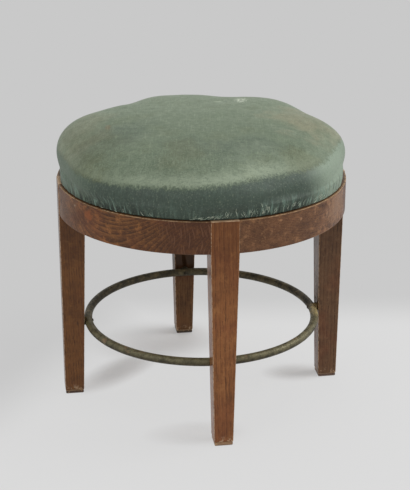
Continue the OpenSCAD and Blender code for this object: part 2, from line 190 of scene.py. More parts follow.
def paper_floor():
    """Pale paper: lit and shadowed near the stool, an even tone further off."""
    finish, place = new_finish("pale_paper")
    slant = sums("SUBTRACT", vectors("DOT_PRODUCT", place, FLOOR_SLANT), FLOOR_SLANT_FROM)
    slant = highest(slant, sums("SUBTRACT", split(place)[1], FLOOR_BACK_FROM))
    tone = between(slant, *FLOOR_FADE, FLOOR_NEAR, FLOOR_FAR)
    far = vectors("LENGTH", place)
    tone = sums("MINIMUM", tone, between(far, *FLOOR_POOL, FLOOR_NEAR, FLOOR_FAR))
    direct = looked_at(place.id_data)
    lit_tone = times(tone, between(direct, 0.0, 1.0, 1.0, 1 + FLOOR_GAIN))
    paper = put("CombineColor", {0: lit_tone, 1: lit_tone, 2: lit_tone}).outputs[0]
    lit = put("BsdfDiffuse", {"Color": paper}).outputs[0]
    plain = put("Emission", {"Color": (1, 1, 1, 1), "Strength": tone}).outputs[0]
    shadow = FLOOR_SHADOW
    for middle, reach, turn, share in FOOT_SHADOWS:
        turned = (0, 0, math.radians(turn))
        sockets = {"Vector": place, "Location": middle, "Rotation": turned, "Scale": reach}
        off = vectors("LENGTH", put("Mapping", sockets, vector_type="TEXTURE").outputs[0])
        shadow = highest(between(off, *SHADOW_EDGE, 0.0, share), shadow)
    evenness = sums("SUBTRACT", 1.0, times(shadow, between(far, *SHADOW_END)))
    both = put("MixShader", {0: times(evenness, direct), 1: lit, 2: plain}).outputs[0]
    put("OutputMaterial", {"Surface": both})
    return finish


def add_surroundings():
    floor = bmesh.new()
    bmesh.ops.create_grid(floor, x_segments=1, y_segments=1, size=FLOOR_SIZE / 2)
    mesh = bpy.data.meshes.new("paper_floor")
    floor.to_mesh(mesh)
    floor.free()
    show("paper_floor", mesh, paper_floor())
    world = bpy.data.worlds.new("studio")
    SCENE.world = world
    world.use_nodes = True
    tree = world.node_tree
    tree.nodes.clear()
    level = between(looked_at(tree), 0.0, 1.0, SKY_LEVEL, FLOOR_FAR)
    sky = put("Background", {"Color": (1, 1, 1, 1), "Strength": level}).outputs[0]
    put("OutputWorld", {"Surface": sky})
    add_window("overhead_window", (0.1, 0.2, 2.6), 2.2, 17)
    add_window("right_window", (1.9, 0.1, 1.6), 1.3, 20)
    add_window("left_window", (-1.5, -1.7, 1.4), 1.2, 8)


SCENE.view_settings.view_transform = "Standard"
add_camera()
add_surroundings()


# Four legs of fumed oak, square in section, tapering to the foot on their inner and side faces.
# Each is sawn along the grain and mortised for two rail tenons and a cross bar's tenon, and its
# top is cut back on a curve to carry on the rail's rebate. Wax has dulled and the arrises are worn.
MM = 0.001
LEG_TURN = 8.8
LEG_ANGLES = {"front": LEG_TURN - 90, "right": LEG_TURN, "back": LEG_TURN + 90, "left": LEG_TURN + 180}
LEG_ARRIS = 0.9 * MM
OAK_MIDDLE = 205 * MM
UPRIGHT = (0.008, 0.01)
LYING = (-math.pi / 2, 0)
LEG_OUTSIDE = 210 * MM
LEG_INSIDE = 200 * MM
LEG_LONG_EDGE = 15 * MM
FACING_UP = (0.7, 0.85)
rail_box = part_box("rail_front_left")
RAIL_TOP = rail_box[1].z
RAIL_FOOT = rail_box[0].z
RAIL_LIP = 217 * MM
PAD_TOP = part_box("foot_pad_front")[1].z


def merged(node):
    """A CAD node's triangles, joined into one skin with its flat facets made whole."""
    shape = bmesh.new()
    shape.from_mesh(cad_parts[node].data)
    shape.normal_update()
    bmesh.ops.remove_doubles(shape, verts=shape.verts, dist=0.002 * MM)
    bmesh.ops.dissolve_limit(shape, angle_limit=math.radians(0.5), verts=shape.verts, edges=shape.edges)
    return shape


def round_arrises(shape, width, wanted):
    """Rounds the wanted sharp edges and marks the new faces as worn."""
    worn = shape.loops.layers.float.new("arris")
    edges = []
    for edge in shape.edges:
        if len(edge.link_faces) == 2 and edge.calc_face_angle_signed(0) > math.radians(30) and wanted(edge):
            edges.append(edge)
    made = bmesh.ops.bevel(shape, geom=edges, offset=width, offset_type="OFFSET", segments=2, profile=0.5,
                           affect="EDGES", material=-1, clamp_overlap=True)
    for face in made["faces"]:
        for loop in face.loops:
            loop[worn] = 1.0


def finished_piece(shape, name, body, finish, slot, *nodes, crease=25):
    """Makes the mesh a piece that rides on its body in place of CAD nodes."""
    mesh = bpy.data.meshes.new(name)
    shape.normal_update()
    shape.to_mesh(mesh)
    shape.free()
    mesh.polygons.foreach_set("use_smooth", [True] * len(mesh.polygons))
    mesh.set_sharp_from_angle(angle=math.radians(crease))
    piece = show(name, mesh, finish)
    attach(piece, body)
    if nodes:
        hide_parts(*nodes)
    return piece


def dressed(node, name, body, finish, slot, crease=25, arris_width=0, wanted=None):
    """A piece that keeps its CAD node's shape, with the wanted edges rounded."""
    shape = merged(node)
    if wanted:
        round_arrises(shape, arris_width, wanted)
    return finished_piece(shape, name, body, finish, slot, node, crease=crease)


def cloud(place, waves, detail=3.0, rough=0.5, warp=0.0):
    """Soft noise from 0 to 1, with so many waves to the metre, the same or its own along each axis."""
    stretched = vectors("MULTIPLY", place, waves if isinstance(waves, tuple) else (waves,) * 3)
    sockets = {"Vector": stretched, "Scale": 1.0, "Detail": detail, "Roughness": rough, "Distortion": warp}
    return put("TexNoise", sockets).outputs["Fac"]


def facing_up(place):
    """How far the surface faces up, from -1 to 1."""
    return split(place.node.outputs["Normal"])[2]


def arris(place):
    """1 on the arrises that round_arrises made."""
    return put("Attribute", tree=place.id_data, attribute_name="arris").outputs["Fac"]


def surface(colour, rough, height=None, depth=0.1 * MM, **fixed):
    """The shader itself, with its bump, joined to the output."""
    sockets = {"Base Color": colour, "Roughness": rough}
    sockets.update({key.replace("_", " "): value for key, value in fixed.items()})
    if height is not None:
        bump = put("Bump", {"Strength": 1.0, "Distance": depth, "Height": height})
        sockets["Normal"] = bump.outputs[0]
    shader = put("BsdfPrincipled", sockets)
    put("OutputMaterial", {"Surface": shader.outputs[0]})


def near(place, centre, reach, fray=0.0):
    """1 at a spot, fading to 0 at its reach in mm along each axis. A reach of 0 leaves an axis out."""
    off = vectors("SUBTRACT", place, centre)
    off = vectors("MULTIPLY", off, [1 / (r * MM) if r else 0 for r in reach])
    return between(plus(vectors("LENGTH", off), fray), 1.0, 0.25)


def marked(place, colour, marks, fray):
    """Lays marks over a colour, each with its tone, spot, reach in mm and strength."""
    for tone, middle, reach, most in marks:
        colour = laid(times(near(place, middle, reach, fray), most), colour, seen(*tone))
    return colour


def from_line(place, x=0, y=0):
    """How far a point lies from an upright line."""
    across = vectors("MULTIPLY", place, (1, 1, 0))
    return vectors("LENGTH", vectors("SUBTRACT", across, (x, y, 0)))


def oak_grain(world, angle, middle, lie, pith, ring_gap, tones, figure, wander, streaks):
    """Colour and relief of sawn oak whose middle stands at an angle and a height.

    Local Z runs along the grain, as lie tips it, and pith is where the tree's heart lies."""
    outward = math.radians(angle)
    centre = (OAK_MIDDLE * math.cos(outward), OAK_MIDDLE * math.sin(outward), middle)
    sockets = {"Vector": world, "Location": centre, "Rotation": (*lie, outward)}
    plank = put("Mapping", sockets, vector_type="TEXTURE").outputs[0]
    bend = times(cloud(plank, (9, 9, 4), 2.0), 5.0 * wander)
    small_bend = times(cloud(plank, (50, 50, 9), 2.0), 0.7 * wander)
    years = plus(sums("DIVIDE", from_line(plank, *pith), ring_gap), bend, small_bend)
    year = sums("FRACT", years)
    own_year = put("TexWhiteNoise", {"W": sums("FLOOR", years)}, noise_dimensions="1D").outputs["Value"]
    open_wood = times(between(year, 0.42, 0.05), between(year, 0.0, 0.05), plus(own_year, 0.35))
    close_wood = times(between(year, 0.5, 0.92), between(year, 1.0, 0.95))

    fibre = cloud(plank, (1100, 1100, 26), 3.0, 0.6)
    strand = cloud(plank, (380, 380, 9), 3.0, 0.6)
    band = cloud(plank, (95, 95, 4), 2.0)
    pores = between(plus(cloud(plank, (1500, 1500, 70), 1.0), times(open_wood, 0.1)), 0.6, 0.68)

    dark, body, light = (seen(*tone) for tone in tones)
    colour = tint(body, dark, band, 0.3, 0.72, 0.5 * streaks)
    colour = laid(times(open_wood, figure), colour, dark)
    colour = laid(times(close_wood, figure * 0.6), colour, light)
    colour = tint(colour, dark, strand, 0.42, 0.72, 0.55 * streaks)
    colour = tint(colour, dark, fibre, 0.5, 0.72, 0.5 * streaks)
    colour = tint(colour, light, fibre, 0.48, 0.3, 0.4 * streaks)
    colour = laid(times(pores, 0.6), colour, [c * 0.4 for c in dark[:3]] + [1])
    height = sums("SUBTRACT", times(fibre, 0.5), pores)
    return colour, height, pores


def old_wax(world, colour, tones, blotches):
    """Dark where old wax has gathered and redder or lighter where hands and feet have rubbed it."""
    dark, light = seen(*tones[0]), seen(*tones[2])
    wax = cloud(world, 26, 4.0, 0.65)
    colour = tint(colour, dark, wax, 0.42, 0.78, 0.6)
    blotch = cloud(world, 75, 4.0, 0.7)
    colour = tint(colour, dark, blotch, 0.52, 0.7, blotches)
    colour = tint(colour, light, blotch, 0.48, 0.32, blotches)
    colour = tint(colour, seen(132, 70, 40), cloud(world, 17, 2.0), 0.5, 0.75, 0.35)
    colour = tint(colour, light, cloud(world, 330, 2.0), 0.66, 0.74, 0.35)
    return colour, between(wax, 0.3, 0.8, 0.34, 0.48)


def leg_oak(name, angle, pith, coat, shade, tones):
    finish, world = new_finish(name)
    colour, height, pores = oak_grain(world, angle, 0.2, UPRIGHT, pith, 3.4 * MM, tones, LEG_FIGURE,
                                      0.35, 0.45)
    colour, gloss = old_wax(world, colour, tones, 0.3)
    spot = split(world)
    # Painted shade: each leg is darkened towards its top, where the seat and rail shade it.
    colour = laid(between(spot[2], *shade), colour, seen(*tones[0]))
    rubbed = cloud(world, 150, 3.0, 0.65)
    top = times(between(facing_up(world), *FACING_UP), between(rubbed, 0.25, 0.45, 0.75, 1.0))
    edge = times(arris(world), between(rubbed, 0.38, 0.6, 0.1, 0.8))
    foot = times(between(spot[2], PAD_TOP + 13 * MM, PAD_TOP), between(rubbed, 0.5, 0.6, 0.0, 0.8))
    worn = highest(top, edge, foot)
    colour = laid(worn, colour, seen(205, 172, 138))
    colour = marked(world, colour, LEG_CHIPS, between(rubbed, 0.3, 0.7, -0.4, 0.6))
    gloss = plus(gloss, times(highest(worn, pores), 0.15))
    surface(colour, gloss, height, Specular_IOR_Level=0.12, Coat_Weight=coat, Coat_Roughness=0.18)
    return finish


def leg_arrises(angle):
    """Picks the long outer edges of a leg, and those of its top and foot."""
    along = Matrix.Rotation(math.radians(-angle), 3, "Z")

    def wanted(edge):
        ends = [along @ v.co for v in edge.verts]
        if edge.calc_length() < 3 * MM:
            return False
        low, high = min(e.z for e in ends), max(e.z for e in ends)
        outer = all(e.x > LEG_OUTSIDE or e.x < LEG_INSIDE and high < RAIL_FOOT + MM for e in ends)
        upright = high - low > LEG_LONG_EDGE and outer
        outside = all(abs(e.y) > 12 * MM for e in ends)
        top = low > RAIL_TOP - 0.1 * MM and all(e.x > RAIL_LIP - 2 * MM for e in ends)
        foot = high < PAD_TOP + 0.1 * MM and edge.calc_length() > LEG_LONG_EDGE
        return upright and outside or top or foot

    return wanted


LEG_FIGURE = 0.25
# Heights over which each leg is darkened as painted shade, and how far. The back leg is darkest, from about
# the foot ring up.
LEG_PAINTED_SHADE = (0.2, 0.34, 0.0, 0.4)
BACK_LEG_PAINTED_SHADE = (0.09, 0.14, 0.0, 0.9)
LEG_OAK = {
    "front": ((0.16, -0.09), 0.4, LEG_PAINTED_SHADE, [(88, 46, 18), (156, 98, 52), (192, 132, 76)]),
    "right": ((-0.1, 0.14), 0.35, LEG_PAINTED_SHADE, [(72, 45, 25), (116, 82, 54), (148, 112, 78)]),
    "back": ((0.12, 0.2), 0.12, BACK_LEG_PAINTED_SHADE, [(58, 42, 28), (122, 84, 52), (150, 112, 74)]),
    "left": ((-0.15, 0.11), 0.4, LEG_PAINTED_SHADE, [(74, 41, 16), (124, 78, 36), (152, 104, 52)]),
}
LEG_CHIPS = [((212, 180, 146), middle, reach, 0.8) for middle, reach in (
    ((0.0195, -0.2265, 0.030), (2, 3, 3)), ((0.0165, -0.2260, 0.042), (1.5, 3, 5)),
    ((0.0160, -0.2260, 0.110), (1.5, 3, 3)), ((-0.0430, 0.1900, 0.290), (2, 6, 3)))]

for side, angle in LEG_ANGLES.items():
    oak = leg_oak("oak_of_leg_" + side, angle, *LEG_OAK[side])
    dressed("leg_" + side, "oak_leg_" + side, "base", oak, "leg_oak", arris_width=LEG_ARRIS,
            wanted=leg_arrises(angle))


# The seat rail: four quarters of oak, each sawn to the curve from a straight plank, so that the
# rings show as a flame in its middle and as close upright lines near its ends. A rebate inside
# leaves a thin lip, darker on its top and inner side, and rubbed pale along its outer edge by the seat.
RAIL_ARRIS = 0.7 * MM
RAIL_OAK = {
    "front_left": ((-0.115, 0.05), 2.9 * MM, 0.5, 0.6, [(60, 34, 18), (122, 78, 42), (180, 120, 64)]),
    "front_right": ((0.3, -0.35), 3.1 * MM, 0.12, 0.8, [(68, 41, 25), (133, 90, 58), (180, 131, 88)]),
    "back_left": ((-0.14, -0.05), 5.2 * MM, 0.6, 0.7, [(66, 40, 25), (118, 78, 49), (150, 104, 66)]),
    "back_right": ((-0.2, 0.08), 5.0 * MM, 0.5, 0.8, [(66, 41, 26), (120, 80, 51), (152, 106, 68)]),
}
RAIL_ANGLES = {"front_right": LEG_TURN - 45, "back_right": LEG_TURN + 45, "back_left": LEG_TURN + 135,
               "front_left": LEG_TURN - 135}


def rail_arrises(edge):
    """Picks the curved edges of the rail's lip and of its foot."""
    radii = [v.co.xy.length for v in edge.verts]
    heights = [v.co.z for v in edge.verts]
    level = abs(heights[0] - heights[1]) < 0.01 * MM
    rim = min(abs(heights[0] - RAIL_TOP), abs(heights[0] - RAIL_FOOT)) < 0.1 * MM
    return level and rim and abs(radii[0] - radii[1]) < 0.5 * MM


# Spots on the rail, each with its tone, place, reach in mm and strength. The first, pinkish grey at the far
# left end, is a painted reflection. The last, a broad pale patch over the right end, is painted light from
# the right. The others are small pale and reddish spots.
RAIL_SPOTS_AND_PAINTED_LIGHT = [
    ((190, 166, 142), (-0.188, -0.124, 0.350), (3.5, 3.5, 3), 0.8),
    ((166, 92, 44), (-0.166, -0.151, 0.344), (16, 16, 13), 0.55),
    ((206, 160, 122), (0.187, -0.126, 0.337), (3.5, 3.5, 5), 0.7),
    ((196, 146, 106), (0.145, -0.172, 0.346), (3, 3, 4), 0.6),
    ((190, 140, 98), (0.115, -0.193, 0.352), (4, 4, 3), 0.6),
    ((176, 136, 104), (0.200, -0.090, 0.340), (45, 60, 40), 0.45),
]


def rail_oak(name, angle, pith, ring_gap, figure, wander, tones):
    finish, world = new_finish(name)
    colour, height, pores = oak_grain(world, angle, 0.335, LYING, pith, ring_gap, tones, figure,
                                      wander, 0.8)
    colour, gloss = old_wax(world, colour, tones, 0.5)
    spot = split(world)
    radius = from_line(world)
    azimuth = sums("ARCTAN2", spot[1], spot[0])

    curl = times(cloud(world, 26, 1.0), 7.0)
    round_face = put("CombineXYZ", {0: plus(times(azimuth, 95.0), curl), 1: times(spot[2], 34.0),
                                    2: times(radius, 40.0)})
    flecks = between(cloud(round_face.outputs[0], 1, 1.0), 0.57, 0.63)
    from_end = sums("ABSOLUTE", sums("SUBTRACT", azimuth, math.radians(angle + 36)))
    at_end = between(from_end, math.radians(20), math.radians(9))
    colour = laid(times(at_end, 0.65), colour, seen(74, 39, 20))
    colour = laid(times(flecks, at_end, 0.4), colour, seen(138, 96, 68))
    rubbed = cloud(world, 150, 3.0, 0.65)
    # Lays the rail's spots, among them a painted reflection at the far left end and painted light over the
    # right end.
    colour = marked(world, colour, RAIL_SPOTS_AND_PAINTED_LIGHT, between(rubbed, 0.3, 0.7, -0.2, 0.3))

    lip_top = times(between(facing_up(world), *FACING_UP), between(spot[2], RAIL_TOP - MM, RAIL_TOP))
    lip_side = times(between(radius, RAIL_LIP + 0.6 * MM, RAIL_LIP + 0.2 * MM),
                     between(spot[2], RAIL_TOP - 18 * MM, RAIL_TOP - 14 * MM))
    lip = highest(lip_top, lip_side)
    # The lip's top and inner side are laid over with a darker brown.
    colour = laid(times(lip, 0.6), colour, seen(92, 68, 46))
    high = between(spot[2], RAIL_FOOT + 10 * MM, RAIL_TOP - 10 * MM, 0.25, 1.0)
    edge = times(arris(world), high, between(rubbed, 0.35, 0.6, 0.15, 0.9))
    outer_lip = times(lip_top, between(radius, RAIL_LIP + 4.5 * MM, RAIL_LIP + 7 * MM))
    worn = highest(edge, times(outer_lip, between(rubbed, 0.4, 0.6, 0.1, 0.8)))
    colour = laid(worn, colour, seen(184, 150, 112))
    gloss = plus(gloss, times(highest(worn, pores), 0.15))
    surface(colour, gloss, height, Specular_IOR_Level=0.35)
    return finish


for side, angle in RAIL_ANGLES.items():
    oak = rail_oak("oak_of_rail_" + side, angle, *RAIL_OAK[side])
    dressed("rail_" + side, "oak_rail_" + side, "base", oak, "rail_oak", arris_width=RAIL_ARRIS,
            wanted=rail_arrises)


# Two beech bars halved across each other under the seat, tenoned into the legs. They carry the
# nut, and nobody sees them, so they are left as sawn and planed, with only dust on them.
def plain_wood(name, turn, tones, ring_gap, pith):
    """Unpolished wood with faint rings, long fibres and the short dark flecks of its rays."""
    finish, world = new_finish(name)
    plank = put("Mapping", {"Vector": world, "Rotation": turn}, vector_type="TEXTURE").outputs[0]
    years = plus(sums("DIVIDE", from_line(plank, *pith), ring_gap),
                 times(cloud(plank, (16, 16, 4), 2.0), 3.0))
    year = sums("FRACT", years)
    line = times(between(year, 0.5, 0.95), between(year, 1.0, 0.95))
    fibre = cloud(plank, (700, 700, 16), 3.0, 0.6)
    fleck = between(cloud(plank, (650, 650, 190), 1.0), 0.62, 0.7)
    dark, body, light = (seen(*tone) for tone in tones)
    colour = laid(times(line, 0.5), body, dark)
    colour = tint(colour, light, fibre, 0.3, 0.8, 0.5)
    colour = laid(times(fleck, 0.45), colour, dark)
    dust = cloud(world, 35, 4.0, 0.6)
    colour = tint(colour, seen(120, 108, 92), dust, 0.45, 0.75, 0.4)
    surface(colour, between(dust, 0.3, 0.8, 0.6, 0.8), plus(fibre, fleck), 0.08 * MM)
    return finish


BEECH = [(112, 74, 48), (168, 126, 88), (192, 154, 114)]
BAR_ARRIS = 1.0 * MM
BAR_LONG_EDGE = 60 * MM
for part, turn in (("lower", math.pi / 2), ("upper", 0)):
    lie = (*LYING, math.radians(LEG_TURN) + turn + math.pi)
    beech = plain_wood("beech_of_bar_" + part, lie, BEECH, 3.4 * MM, (0.05, 0.4))
    dressed("cross_bar_" + part, "beech_bar_" + part, "base", beech, "frame_beech", arris_width=BAR_ARRIS,
            wanted=lambda edge: edge.calc_length() > BAR_LONG_EDGE)


# The screw's nut: a cast iron flange and barrel let through the crossing of the bars, blackened,
# and held by four slotted steel screws.
def iron(name, tones, rough, grain, rust=0.3, metal=0.9):
    """Blackened iron or steel: a fine cast or drawn skin, rubbed bright in places, rust in others."""
    finish, place = new_finish(name)
    skin = cloud(place, grain, 4.0, 0.65)
    patch = cloud(place, 90, 3.0, 0.6)
    spots = between(cloud(place, 260, 3.0, 0.6), 0.56, 0.68)
    dark, bright = (seen(*tone) for tone in tones)
    colour = tint(dark, bright, patch, 0.35, 0.7)
    colour = tint(colour, dark, skin, 0.4, 0.7, 0.5)
    colour = laid(times(spots, rust), colour, seen(96, 58, 36))
    gloss = plus(rough, times(spots, 0.25))
    surface(colour, gloss, skin, 0.06 * MM, Metallic=metal)
    return finish


black_iron = iron("black_iron", [(46, 44, 42), (78, 74, 70)], 0.45, 900)
fixing_steel = iron("fixing_steel", [(70, 66, 60), (128, 122, 112)], 0.38, 1400)
dressed("screw_nut", "iron_nut", "base", black_iron, "black_iron")
dressed("nut_screws", "screws_of_nut", "base", fixing_steel, "fixing_steel")


# The foot ring: two half rings of brass rod joined by spigots at the side legs, held off each leg
# by a brass collar and fixed by a round-headed screw. The brass has gone to a dark olive skin,
# mottled, and lighter over its top at the front, partly rubbed where shoes rest and partly a
# painted highlight.
def patinated_brass(name, tones, wear_depth):
    finish, place = new_finish(name)
    spot = split(place)
    dark, olive, rubbed, copper = (seen(*tone) for tone in tones)
    mottle = cloud(place, 95, 4.0, 0.7)
    speckle = cloud(place, 420, 3.0, 0.6)
    patch = cloud(place, 42, 2.0)
    # Lighter over the upward faces at the front: partly rubbed by shoes, partly a painted highlight on the
    # ring's top.
    front = between(spot[1], wear_depth, wear_depth - 0.05)
    top = between(facing_up(place), -0.3, 0.7, 0.05, 1.0)
    wear_and_painted_highlight = times(front, top, between(mottle, 0.3, 0.62, 0.35, 1.0))
    colour = tint(dark, olive, mottle, 0.35, 0.7)
    colour = laid(wear_and_painted_highlight, colour, rubbed)
    colour = laid(times(wear_and_painted_highlight, between(patch, 0.56, 0.68, 0.0, 0.75)), colour, copper)
    colour = marked(place, colour, RING_ENDS, between(mottle, 0.3, 0.7, -0.3, 0.3))
    colour = tint(colour, dark, speckle, 0.48, 0.7, 0.6)
    gloss = between(mottle, 0.3, 0.7, 0.62, 0.45)
    surface(colour, gloss, plus(mottle, speckle), 0.12 * MM, Metallic=0.35)
    return finish


BRASS = [(50, 46, 32), (98, 88, 60), (128, 122, 92), (158, 128, 98)]
RING_WEAR_DEPTH = 0.03
RING_ENDS = [
    ((204, 186, 134), (0.187, 0.008, 0.127), (16, 34, 14), 1.0),
    ((128, 124, 88), (-0.182, -0.045, 0.128), (9, 26, 9), 1.0),
]
ring_brass = patinated_brass("ring_brass", BRASS, RING_WEAR_DEPTH)
screw_brass = iron("dark_screws", [(48, 42, 32), (86, 78, 60)], 0.5, 1200, 0.5, 0.6)
for half in ("front", "back"):
    dressed("foot_ring_" + half, "brass_ring_" + half, "base", ring_brass, "ring_brass", crease=40)
dressed("foot_ring_collars", "ring_collars", "base", ring_brass, "ring_brass")
dressed("foot_ring_screws", "ring_screws", "base", screw_brass, "ring_brass", crease=40)


# A square pad of hard wood nailed under each foot, its arrises broken, pale at the joint where
# the wax never reached.
PAD_OAK = {
    "front": [(128, 92, 62), (190, 150, 112), (212, 176, 140)],
    "right": [(76, 54, 42), (124, 94, 76), (156, 124, 102)],
    "back": [(42, 32, 22), (74, 58, 40), (100, 80, 56)],
    "left": [(52, 36, 24), (92, 64, 44), (120, 88, 60)],
}
PAD_ARRIS = 0.5 * MM


def pad_wood(name, angle, tones):
    finish, world = new_finish(name)
    colour, height = oak_grain(world, angle, 0, LYING, (0.08, -0.12), 3.2 * MM, tones, 0.4, 0.5, 1)[:2]
    rubbed = cloud(world, 190, 3.0, 0.65)
    worn = highest(times(arris(world), 0.85), between(rubbed, 0.6, 0.68, 0.0, 0.6))
    surface(laid(worn, colour, seen(214, 176, 132)), between(rubbed, 0.3, 0.7, 0.45, 0.6), height)
    return finish


def pad_arrises(edge):
    """Picks the pad's top edges."""
    return edge.calc_length() > LEG_LONG_EDGE and min(v.co.z for v in edge.verts) > PAD_TOP - 0.1 * MM


for side, angle in LEG_ANGLES.items():
    oak = pad_wood("wood_of_pad_" + side, angle, PAD_OAK[side])
    dressed("foot_pad_" + side, "pad_" + side, "base", oak, "foot_pad_wood", arris_width=PAD_ARRIS,
            wanted=pad_arrises)
nail_steel = iron("nail_steel", [(58, 54, 50), (104, 98, 90)], 0.45, 1500, 0.7)
dressed("foot_pad_nails", "nails_of_pads", "base", nail_steel, "fixing_steel")


# A washer of greased leather on the spindle, between the nut and the seat's plate, so that the
# seat comes down softly.
def greased_leather():
    finish, place = new_finish("greased_leather")
    grain = put("TexVoronoi", {"Vector": place, "Scale": 900.0}, feature="SMOOTH_F1").outputs["Distance"]
    patch = cloud(place, 140, 3.0, 0.6)
    colour = tint(seen(44, 30, 22), seen(92, 62, 42), patch, 0.3, 0.7)
    colour = laid(between(grain, 0.2, 0.7, 0.5, 0.0), colour, seen(30, 22, 17))
    surface(colour, between(patch, 0.3, 0.7, 0.35, 0.6), grain)
    return finish


dressed("stop_washer", "leather_washer", "washer", greased_leather(), "washer_leather")


# The seat board: a disc of pine under the stuffing, with an iron plate of four arms screwed to
# its underside, into which the spindle is riveted.
PLATE_ARRIS = 0.6 * MM
PLATE_LONG_EDGE = 12 * MM
PINE = [(150, 104, 58), (206, 166, 112), (222, 190, 142)]
pine = plain_wood("board_pine", (*LYING, 0.3), PINE, 5.5 * MM, (0.02, 0.16))
plate_iron = iron("plate_iron", [(50, 48, 46), (88, 84, 78)], 0.48, 800)
dressed("seat_board", "pine_board", "seat", pine, "board_pine")
dressed("seat_plate", "iron_plate", "seat", plate_iron, "black_iron", arris_width=PLATE_ARRIS,
        wanted=lambda edge: edge.calc_length() > PLATE_LONG_EDGE)
dressed("plate_screws", "screws_of_plate", "seat", fixing_steel, "fixing_steel")


# The spindle: a steel screw with a deep thread that lifts the seat as it turns, with a pinned
# iron collar at its foot that stops it leaving the nut. The thread is greased and rubbed bright.
spindle_steel = iron("spindle_steel", [(72, 68, 62), (150, 146, 138)], 0.3, 1600, 0.15)
dressed("spindle", "steel_spindle", "seat", spindle_steel, "screw_steel")
dressed("stop_collar", "iron_collar", "seat", black_iron, "black_iron", crease=40)
dressed("collar_pin", "pin_of_collar", "seat", fixing_steel, "fixing_steel", crease=40)


# The seat's upholstery: a hair stuffing heaped on the board, a calico lining drawn over it, and
# a silk cover pulled down the sides and tacked under the board. Years of sitting have settled the
# heap into soft lobes round its edge and lowered it towards the front.
board_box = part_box("seat_board")
COVER_R = board_box[1].x + 3.3 * MM
HEM_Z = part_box("seat_cover")[0].z
BOARD_TOP = board_box[1].z
BOARD_FOOT = board_box[0].z
HEM_WIDTH = 24 * MM
CROWN_RISE = 86 * MM
CROWN_EDGE = 26.7 * MM
CROWN_SHAPE = (4.2, 2.1)
BULGE_R = COVER_R + 6 * MM
LOBES = [(2, 0.012, 74), (3, 0.011, 117), (6, 0.015, -72), (7, 0.019, 72), (8, 0.01, 87)]
LEAN = 0.1
LEAN_TURN = math.radians(85)
SIDE_FULLNESS = 1.6
SWELLS = [(163, 32, 3.2, 6), (34, 26, 3.4, 4), (120, 20, 0, 3.6), (86, 8, 0, 2), (70, 7, 0, -1.4),
          (50, 8, 0, 2), (28, 8, 0, -1.4), (-3, 8, -2.4, 0), (192, 12, -1.2, 0)]
SETTLING = [(17, 3.7, 1.6 * MM), (42, 8.1, 0.5 * MM)]
RIM_ROWS = [1.6 * MM, 0.9 * MM, 0.6 * MM, 0.45 * MM, 0]
ROUND_STEPS = 264
CROWN_STEPS = 26
SIDE_STEPS = 9
SILK_THICK = 1.2 * MM
SLACK = 4 * MM
EDGE_SLACK = -0.5 * MM
SLACK_R = 90 * MM
SLACK_FADE = 85 * MM
HELD_RISE = 4 * MM
HELD_FADE = 16 * MM
PUFF_MOST = 6 * MM
EVENED = 34
PUFF_FRAMES = 20
PUFF_CLOTH = {"quality": 6, "mass": 0.3, "tension_stiffness": 80, "compression_stiffness": 80,
              "shear_stiffness": 40, "bending_stiffness": 5, "use_pressure": True,
              "uniform_pressure_force": 4, "vertex_group_mass": "tacked"}


def lobe(angle):
    return 1 + sum(share * math.cos(waves * angle - math.radians(turn)) for waves, share, turn in LOBES)


def heap_meridian():
    """The heap's outline from the middle of its crown, over the edge and under the board."""
    line = []
    for step in range(CROWN_STEPS + 1):
        out = math.sin(math.pi / 2 * (step / CROWN_STEPS)) ** 0.8
        rise = (1 - out ** CROWN_SHAPE[0]) ** (1 / CROWN_SHAPE[1])
        line.append((BULGE_R * out, CROWN_EDGE + (CROWN_RISE - CROWN_EDGE) * rise))
    for rise in [CROWN_EDGE * (1 - step / SIDE_STEPS) for step in range(1, SIDE_STEPS)] + RIM_ROWS:
        out = math.sin(math.pi / 2 * rise / CROWN_EDGE) ** SIDE_FULLNESS
        line.append((COVER_R + (BULGE_R - COVER_R) * out, rise))
    drop = RAIL_TOP - HEM_Z
    line += [(COVER_R, -drop * share) for share in (0.25, 0.5, 0.75)]
    line += [(COVER_R - 0.3 * MM, -drop + 0.3 * MM), (COVER_R - 1.5 * MM, -drop)]
    line += [(COVER_R - HEM_WIDTH * share, -drop) for share in (0.35, 0.7, 1)]
    line += [(COVER_R * share, -drop) for share in (0.8, 0.6, 0.4, 0.2, 0)]
    return line


